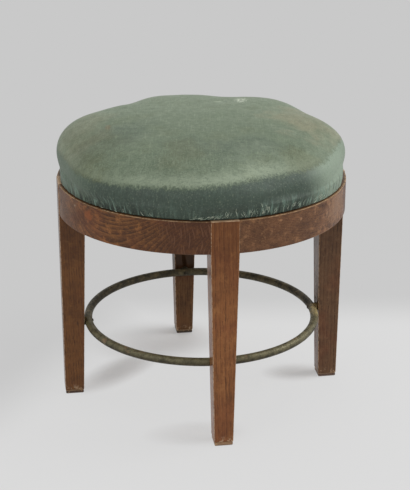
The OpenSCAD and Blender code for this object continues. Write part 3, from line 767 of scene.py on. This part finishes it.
def heap():
    """The whole heap as a closed skin: its meridian is spun, then each point takes its lobe and lean."""
    shape = bmesh.new()
    line = [shape.verts.new((radius, 0, RAIL_TOP + rise)) for radius, rise in heap_meridian()]
    edges = [shape.edges.new(pair) for pair in zip(line, line[1:])]
    bmesh.ops.spin(shape, geom=line + edges, axis=(0, 0, 1), cent=(0, 0, 0), steps=ROUND_STEPS,
                   angle=2 * math.pi, use_merge=True)
    bmesh.ops.remove_doubles(shape, verts=shape.verts, dist=0.01 * MM)
    bmesh.ops.recalc_face_normals(shape, faces=shape.faces)
    for vert in shape.verts:
        radius, rise = vert.co.xy.length, vert.co.z - RAIL_TOP
        if rise < 1e-6 or radius < 1e-6:
            continue
        angle = math.atan2(vert.co.y, vert.co.x)
        if rise > CROWN_EDGE:
            wider = radius * lobe(angle)
            leaning = radius / BULGE_R
        else:
            out = math.sin(math.pi / 2 * rise / CROWN_EDGE) ** SIDE_FULLNESS
            wider = COVER_R + (BULGE_R * lobe(angle) - COVER_R) * out
            leaning = rise / CROWN_EDGE
        height = rise * (1 + LEAN * leaning * math.cos(angle - LEAN_TURN))
        settled = 0
        for waves, layer, depth in SETTLING:
            settled += noise.noise(Vector((vert.co.x * waves, vert.co.y * waves, layer))) * depth
        height += settled * min(1, rise / (CROWN_RISE * 0.5))
        for turn, half_width, out, up in SWELLS:
            share = ((math.degrees(angle) - turn + 180) % 360 - 180) / half_width
            share = math.exp(-share ** 2) * min(1, rise / CROWN_EDGE) * (radius / BULGE_R) ** 3
            wider += out * MM * share
            height += up * MM * share * min(1, rise / CROWN_EDGE) ** 2
        vert.co = Vector((wider * math.cos(angle), wider * math.sin(angle), RAIL_TOP + height))
    shape.normal_update()
    return shape


def clamped(value):
    return min(1, max(0, value))


def eased(value):
    """Rises smoothly from 0 to 1 as value does."""
    share = clamped(value)
    return share * share * (3 - 2 * share)


def held(height):
    """How far the cloth is free to swell at a height: 0 at the rail, 1 a little above it."""
    return eased((height - RAIL_TOP - HELD_RISE) / HELD_FADE)


def slack_at(radius):
    """The cover starts slack over the crown and full round its edge, and the stuffing evens it out."""
    return SLACK + (EDGE_SLACK - SLACK) * eased((radius - SLACK_R) / SLACK_FADE)


def puffed(shape):
    """The heap blown out from its slack start as stiff cloth that is held below the rail."""
    for vert in shape.verts:
        vert.co -= vert.normal * slack_at(vert.co.xy.length) * held(vert.co.z)
    mesh = bpy.data.meshes.new("heap")
    shape.to_mesh(mesh)
    start = [v.co.copy() for v in mesh.vertices]
    pad = show("heap", mesh)
    tacked = pad.vertex_groups.new(name="tacked")
    tacked.add([v.index for v in mesh.vertices if held(v.co.z) == 0], 1, "REPLACE")
    cloth = pad.modifiers.new("cloth", "CLOTH")
    for key, value in PUFF_CLOTH.items():
        setattr(cloth.settings, key, value)
    cloth.settings.effector_weights.gravity = 0
    cloth.point_cache.frame_start = 1
    cloth.point_cache.frame_end = PUFF_FRAMES
    for number in range(1, PUFF_FRAMES + 1):
        SCENE.frame_set(number)
    view = bpy.context.evaluated_depsgraph_get()
    swollen = [v.co.copy() for v in pad.evaluated_get(view).data.vertices]
    bpy.data.objects.remove(pad)
    SCENE.frame_set(1)
    shape.verts.ensure_lookup_table()
    moves = [last - first for first, last in zip(start, swollen)]
    moves = [move * min(1, PUFF_MOST / max(move.length, MM)) for move in moves]
    for _ in range(EVENED):
        moves = [(moves[v.index] + sum((moves[e.other_vert(v).index] for e in v.link_edges), Vector())
                  / len(v.link_edges)) / 2 for v in shape.verts]
    for vert, first, move in zip(shape.verts, start, moves):
        vert.co = first + move
    bpy.data.meshes.remove(mesh)
    shape.normal_update()
    return shape


def layer_of(skin, depth):
    """A copy of the skin, moved inwards."""
    inner = skin.copy()
    inner.normal_update()
    moves = [v.normal * depth for v in inner.verts]
    for vert, move in zip(inner.verts, moves):
        vert.co -= move
    return inner


def cut_below(shape, height, closed):
    """Cuts away what is under a height, and closes the cut if asked."""
    everything = shape.verts[:] + shape.edges[:] + shape.faces[:]
    cut = bmesh.ops.bisect_plane(shape, geom=everything, dist=0.001 * MM, plane_co=(0, 0, height),
                                 plane_no=(0, 0, 1), clear_inner=True)
    if closed:
        rim = [g for g in cut["geom_cut"] if isinstance(g, bmesh.types.BMEdge)]
        bmesh.ops.contextual_create(shape, geom=rim)


def thicken(piece, thickness):
    """Gives a skin its thickness, inwards."""
    solid = piece.modifiers.new("thickness", "SOLIDIFY")
    solid.thickness = thickness
    solid.offset = -1


def hair_stuffing():
    finish, place = new_finish("hair_stuffing")
    tangle = cloud(place, (260, 260, 420), 5.0, 0.7, 3.0)
    curl = cloud(place, (900, 500, 700), 3.0, 0.6, 4.0)
    colour = tint(seen(58, 44, 32), seen(138, 112, 78), tangle, 0.3, 0.7)
    colour = tint(colour, seen(34, 27, 22), curl, 0.5, 0.7, 0.6)
    surface(colour, 0.8, plus(tangle, curl), 0.8 * MM)
    return finish


def calico():
    """Unbleached cotton in plain weave, with the darker husks left in it."""
    finish, place = new_finish("calico")
    warp = put("TexWave", {"Vector": place, "Scale": 400.0}, bands_direction="X").outputs["Fac"]
    weft = put("TexWave", {"Vector": place, "Scale": 400.0}, bands_direction="Y").outputs["Fac"]
    slub = cloud(place, (700, 40, 700), 3.0)
    colour = tint(seen(206, 198, 176), seen(226, 220, 202), slub, 0.35, 0.7)
    colour = tint(colour, seen(126, 104, 74), cloud(place, 500, 2.0), 0.68, 0.74)
    surface(colour, 0.85, plus(warp, weft), Sheen_Weight=0.1)
    return finish


heap_skin = puffed(heap())

stuffing = layer_of(heap_skin, 4.2 * MM)
cut_below(stuffing, BOARD_TOP + 0.3 * MM, True)
stuffing_piece = finished_piece(stuffing, "hair_heap", "seat", hair_stuffing(), "stuffing_hair", "stuffing")

lining = layer_of(heap_skin, 2.2 * MM)
cut_below(lining, BOARD_FOOT + 4 * MM, False)
lining_piece = finished_piece(lining, "calico_cover", "seat", calico(), "calico", "calico_lining",
                              crease=60)
thicken(lining_piece, 0.7 * MM)


# The silk cover itself: a short-napped silk, once a deep green-blue, which still shows down its sides,
# darkest down the front as painted shade and lighter to the left and right as painted sheen. Light has
# bleached the crown to grey-green. A darker middle and a paler back on it are painted shade and light,
# and a pale band along the front crest is a painted highlight. Its edge is gathered in small pleats
# where it is drawn into the rail, with painted shade and highlights on them, and the threads there
# have begun to break.
PLEAT_LEAN = 2.0
ROLL_MOST = 6 * MM
ROLL_BEND = 1.5 * MM
ROLL_START, ROLL_RISES = -182, 16
ROLL_END, ROLL_FALLS = 60, 80
FOLDS = [(61, 9, 0), (113, 14, 1)]


def drift_at(angle, waves, layer):
    """Soft noise round the seat, from -1 to 1."""
    return noise.noise(Vector((math.cos(angle) * waves, math.sin(angle) * waves, layer)))


def roll_out(angle):
    """How far the cover rolls out over the lip: in full from the left round the front to the right."""
    turned = math.degrees(angle)
    front = clamped((turned - ROLL_START) / ROLL_RISES) * clamped((ROLL_END - turned) / ROLL_FALLS)
    drift = drift_at(angle, 2.6, 5.2)
    return max(front * (1 + 0.3 * drift), 0.5 * max(0, drift)) * ROLL_MOST


def gathered(skin):
    """Subdivides the skin once, rolls its foot out over the lip and draws small uneven pleats into it."""
    mesh = bpy.data.meshes.new("silk")
    skin.to_mesh(mesh)
    holder = show("silk", mesh)
    smooth = holder.modifiers.new("smooth", "SUBSURF")
    smooth.levels = 1
    smooth.render_levels = 1
    smooth.use_limit_surface = False
    view = bpy.context.evaluated_depsgraph_get()
    finer = bmesh.new()
    finer.from_mesh(holder.evaluated_get(view).to_mesh())
    bpy.data.objects.remove(holder)
    bpy.data.meshes.remove(mesh)
    for vert in finer.verts:
        rise = vert.co.z - RAIL_TOP
        radius = vert.co.xy.length
        if radius < COVER_R * 0.9 or rise > 40 * MM:
            continue
        angle = math.atan2(vert.co.y, vert.co.x)
        angle -= PLEAT_LEAN * rise * math.cos(angle)
        drift = drift_at(angle, 3, 1.3)
        fold, fine = (0.5 + 0.5 * math.sin(count * angle + sway * drift + start)
                      for count, sway, start in FOLDS)
        strength = drift_at(angle, 5, 7.7) * 0.5 + 0.6
        reach = (18 + 16 * strength * fold) * MM
        fade = max(0, 1 - max(0, rise) / reach) ** 1.5 * clamped((rise + 12 * MM) / (8 * MM))
        depth = (1.0 * fold + 0.6 * fine) * strength * fade * MM
        over = roll_out(angle) * clamped((rise - RIM_ROWS[3]) / (RIM_ROWS[0] - RIM_ROWS[3])) ** 0.7
        over *= clamped((CROWN_EDGE - rise) / (10 * MM))
        bend = min(ROLL_BEND, over)
        short = COVER_R + over - radius
        depth -= 0.5 * (short + math.hypot(short, bend)) if over > 0 else 0
        vert.co.xy *= (radius - depth) / radius
    finer.normal_update()
    return finer


# Silk tones. The sides' dark tone also carries painted shade at the front. The hollow tone is painted shade
# and the pale tone painted light on the crown.
SILK_FADED = seen(104, 118, 96)
SILK_DEEP_AND_SHADED = seen(70, 83, 74)
OLIVE = (100, 107, 78)
BEIGE = (142, 139, 114)
HOLLOW_PAINTED_SHADE = (88, 102, 85)
PALE_PAINTED_LIGHT = (130, 142, 122)
# Marks on the crown, each with its tone, spot, reach in mm and strength. The darker green patches in its
# middle are painted shade, as if the crown were dished, and the pale patch at the front right is painted
# light. The others are stains and patches of tone.
STAINS_AND_PAINTED_SHADING = [
    (HOLLOW_PAINTED_SHADE, (0.03, -0.12, 0), (120, 60, 0), 0.8),
    (HOLLOW_PAINTED_SHADE, (-0.12, -0.05, 0), (70, 70, 0), 0.8),
    (OLIVE, (-0.185, -0.13, 0), (70, 100, 0), 0.9),
    (BEIGE, (-0.19, -0.01, 0), (60, 100, 0), 0.4),
    (OLIVE, (-0.025, -0.135, 0), (45, 60, 0), 0.5),
    ((90, 100, 78), (-0.15, -0.09, 0), (70, 60, 0), 0.5),
    (PALE_PAINTED_LIGHT, (0.09, -0.155, 0), (60, 50, 0), 0.6),
    (OLIVE, (0.155, -0.14, 0), (50, 55, 0), 0.75),
    (BEIGE, (0.17, 0.03, 0), (80, 100, 0), 0.75),
    ((112, 98, 66), (-0.142, -0.022, 0), (7, 12, 0), 0.8),
    ((172, 184, 160), (0.026, 0.095, 0), (9, 6, 0), 0.8),
]
HOLE_PLACE = (0.063, 0.108, 0)


def faded_silk():
    finish, place = new_finish("faded_silk")
    spot = split(place)
    outward = split(vectors("NORMALIZE", vectors("MULTIPLY", place, (1, 1, 0))))

    weft = cloud(place, (34, 520, 200), 3.0, 0.65)
    warp = cloud(place, (520, 34, 200), 3.0, 0.65)
    nap = cloud(place, (420, 420, 26), 3.0, 0.6)
    grain = cloud(place, 420, 3.0, 0.7)
    mottle = cloud(place, 110, 4.0, 0.65)
    broad = cloud(place, 22, 4.0, 0.6)

    # The crown is paler towards the back as painted light.
    crown_faded_and_painted_light = tint(SILK_FADED, seen(*PALE_PAINTED_LIGHT), spot[1], -0.06, 0.1, 0.55)
    # Lays the crown's marks, with painted shade in its middle and a painted light patch at the front right.
    crown_faded_and_painted_light = marked(place, crown_faded_and_painted_light, STAINS_AND_PAINTED_SHADING, between(broad, 0.25, 0.75, -0.45, 0.45))
    crown_faded_and_painted_light = tint(crown_faded_and_painted_light, seen(*OLIVE), broad, 0.5, 0.75, 0.35)
    rise = sums("SUBTRACT", spot[2], RAIL_TOP)
    over = sums("SUBTRACT", rise, between(spot[0], -0.12, 0.08, 39.5 * MM, 50.5 * MM))
    over = plus(over, between(mottle, 0.2, 0.8, -2 * MM, 2 * MM), between(nap, 0.3, 0.7, -2 * MM, 2 * MM))
    # A pale band along the front crest, just above the sides' dark edge, is a painted highlight.
    crest = times(between(over, 0.0, 5 * MM), between(over, 20 * MM, 6 * MM),
                  between(spot[0], -0.19, -0.02, 0.4, 1.0), between(spot[0], 0.18, 0.06, 0.3, 1.0))
    crown_faded_and_painted_light = laid(times(crest, 0.55), crown_faded_and_painted_light, seen(168, 180, 156))

    # The sides' dark tone is partly unbleached silk and partly painted shade, darkest at the front.
    deep = tint(SILK_DEEP_AND_SHADED, seen(74, 90, 78), broad, 0.35, 0.7, 0.5)
    deep = tint(deep, seen(98, 118, 104), nap, 0.5, 0.7, 0.35)
    deep = tint(deep, seen(48, 60, 52), nap, 0.46, 0.3, 0.35)
    # The left and right sides are made lighter as painted sheen, the right most, and the back a mid tone,
    # so the front stays darkest as painted shade.
    deep = tint(deep, seen(102, 118, 101), outward[0], -0.62, -0.84, 0.85)
    deep = tint(deep, seen(146, 162, 143), outward[0], 0.66, 0.88, 0.95)
    deep = tint(deep, seen(96, 114, 100), outward[1], -0.2, 0.3, 0.6)
    azimuth = sums("ARCTAN2", spot[1], spot[0])
    lean = times(rise, outward[0], PLEAT_LEAN)
    across = times(sums("SUBTRACT", azimuth, lean), 52.0)
    pleats = put("CombineXYZ", {0: across, 1: times(rise, 34.0)}).outputs[0]
    pleats = cloud(pleats, 1, 3.0, 0.6)
    drawn = between(sums("ABSOLUTE", outward[0]), 0.15, 0.55, 0.2, 1.0)
    low = times(between(rise, 30 * MM, 6 * MM), drawn)
    # Dark strokes in the pleats' hollows are painted shade and light strokes on their ridges painted
    # highlight.
    deep = laid(times(low, between(pleats, 0.48, 0.4, 0.0, 0.75)), deep, seen(38, 48, 42))
    deep = laid(times(low, between(pleats, 0.53, 0.62, 0.0, 0.8)), deep, seen(126, 152, 138))
    # Darker notches between the pleats low down are painted shade.
    notch_painted_shade = times(between(rise, 13 * MM, 5 * MM), between(pleats, 0.54, 0.48),
                  between(outward[0], 0.8, 0.55))
    deep = laid(times(notch_painted_shade, drawn, 0.75), deep, seen(32, 42, 36))

    crown_faded_and_painted_light = tint(crown_faded_and_painted_light, seen(72, 86, 68), mottle, 0.48, 0.72, 0.26)
    crown_faded_and_painted_light = tint(crown_faded_and_painted_light, seen(150, 162, 134), mottle, 0.5, 0.3, 0.18)
    # The crown's tone meets the sides' at a soft line below the crest, partly bleaching and partly painted
    # shade where the surface turns down.
    sunned_and_lit = between(over, -4 * MM, 3.5 * MM)
    shade = laid(sunned_and_lit, deep, crown_faded_and_painted_light)
    shade = tint(shade, seen(62, 76, 60), grain, 0.5, 0.7, 0.35)
    shade = tint(shade, seen(160, 172, 142), grain, 0.46, 0.3, 0.3)
    woven = between(sunned_and_lit, 0.0, 1.0, 0.25, 1.0)
    shade = laid(times(woven, between(weft, 0.52, 0.7, 0.0, 0.3)), shade, seen(70, 88, 74))
    shade = laid(times(woven, between(warp, 0.52, 0.7, 0.0, 0.22)), shade, seen(160, 174, 148))
    shade = tint(shade, seen(176, 190, 160), cloud(place, 300, 1.0), 0.77, 0.81, 0.4)

    hole = near(place, HOLE_PLACE, (4, 5, 0), between(grain, 0.3, 0.7, -0.2, 0.2))
    loose = near(place, HOLE_PLACE, (8, 15, 0), between(grain, 0.3, 0.7, -0.9, 0.6))
    shade = laid(times(loose, 0.85), shade, seen(206, 214, 194))
    shade = laid(hole, shade, seen(58, 62, 50))
    speck = near(place, (-0.083, -0.190, 0.437), (3, 4, 9))
    shade = laid(speck, shade, seen(176, 190, 164))

    height = plus(nap, warp, plus(weft, grain), times(pleats, low, 5.0))
    surface(shade, between(mottle, 0.3, 0.7, 0.48, 0.6), height, 0.2 * MM, Sheen_Weight=0.2,
            Sheen_Roughness=0.35, Sheen_Tint=seen(214, 226, 206), Specular_IOR_Level=0.35)
    return finish


cover = gathered(heap_skin)
inside_hem = [f for f in cover.faces if f.calc_center_median().xy.length < COVER_R - HEM_WIDTH
              and f.calc_center_median().z < HEM_Z + 2 * MM]
bmesh.ops.delete(cover, geom=inside_hem, context="FACES")
cover_skin = cover.copy()
cover_piece = finished_piece(cover, "silk_cover", "seat", faded_silk(), "silk_cover", "seat_cover",
                             crease=60)
thicken(cover_piece, SILK_THICK)
heap_skin.free()


# Broken silk threads that stand and hang out of the cover's foot where the front of the rail has
# worn it, and a few round the small hole at the back of the crown.
FRAYS = [
    (-91, 3.5, 6, 2, 1.2, 18), (-85, 3, 7, 2, 1.0, 14), (-80.5, 2, 8, 3, 0.3, 7),
    (-77.1, 0.8, 12, 4, 0, 5), (-73.6, 1, 8, 3, -0.4, 6), (-71.4, 0.8, 8, 3, 0.4, 5),
    (-69, 0.8, 8, 4, 0, 5), (-66.7, 0.5, 13, 6, 0, 7), (-65.2, 0.8, 12, 4, 0.2, 5),
    (-63.8, 0.6, 11, 4, 0.1, 5), (-61.9, 1, 8, 3, 0.5, 5), (-57, 1.2, 8, 3, 0.5, 4),
    (-53, 1, 9, 4, 0.6, 5), (-50.6, 0.8, 11, 4, 0.7, 6), (-47.6, 0.8, 10, 3, 0.6, 4),
    (-41.5, 1.6, 8, 4, 0.9, 9), (-38, 1.4, 9, 4, 0.8, 12), (-35.6, 1, 7, 3, 0.8, 6),
    (-130, 12, 5, 4, -0.6, 4), (-112, 9, 4, 2, -0.4, 3),
]
THREAD_R = 0.26 * MM
THREAD_POINTS = 5
THREAD_LENGTH = 5.5 * MM
THREAD_SWAY = 0.06


def silk_threads():
    finish, place = new_finish("frayed_silk")
    hue = cloud(place, 90, 2.0)
    colour = tint(seen(166, 186, 166), seen(228, 234, 212), hue, 0.3, 0.7)
    colour = tint(colour, seen(104, 124, 104), cloud(place, 800, 2.0), 0.45, 0.7, 0.25)
    surface(colour, 0.5, Sheen_Weight=0.3)
    return finish


def loose_threads(skin, dice):
    """A curve of many short threads that lie on the skin, each a little way off it in its middle."""
    outside = BVHTree.FromBMesh(skin)
    threads = bpy.data.curves.new("threads", "CURVE")
    threads.dimensions = "3D"
    threads.bevel_depth = THREAD_R
    threads.bevel_resolution = 0
    threads.use_fill_caps = True
    for turn, spread, rise, rise_spread, lean, count in FRAYS:
        for number in range(count):
            angle = math.radians(turn + dice.uniform(-spread, spread))
            start = RAIL_TOP + (rise + dice.uniform(-rise_spread, rise_spread) - 3) * MM
            length = THREAD_LENGTH * dice.uniform(0.5, 1.3)
            tilt = lean + dice.uniform(-0.3, 0.3)
            line = threads.splines.new("POLY")
            line.points.add(THREAD_POINTS - 1)
            for step, point in enumerate(line.points):
                share = step / (THREAD_POINTS - 1)
                sway = math.sin(tilt) * share + THREAD_SWAY * math.sin(5 * share + number)
                bend = angle + sway * length / COVER_R
                height = max(start + math.cos(tilt) * length * share, RAIL_TOP + 1.8 * MM)
                ray = Vector((math.cos(bend), math.sin(bend), 0))
                hit, normal = outside.ray_cast(Vector((0, 0, height)) + ray * 0.3, -ray)[:2]
                lift = THREAD_R * 0.8 + math.sin(math.pi * share) * dice.uniform(0, 0.6) * MM
                point.co = (*(hit + normal * lift), 1)
                point.radius = 1.1 - 0.5 * share
    return threads


curve = show("threads", loose_threads(cover_skin, random.Random(11)))
mesh = bpy.data.meshes.new_from_object(curve.evaluated_get(bpy.context.evaluated_depsgraph_get()))
bpy.data.objects.remove(curve)
shape = bmesh.new()
shape.from_mesh(mesh)
finished_piece(shape, "frayed_threads", "seat", silk_threads(), "silk_cover", crease=60)
cover_skin.free()


# Blued steel tacks, driven through the silk's hem into the board every ten degrees.
tack_steel = iron("tack_steel", [(40, 40, 44), (84, 84, 88)], 0.35, 1500, 0.4)
dressed("cover_tacks", "hem_tacks", "seat", tack_steel, "tack_steel")
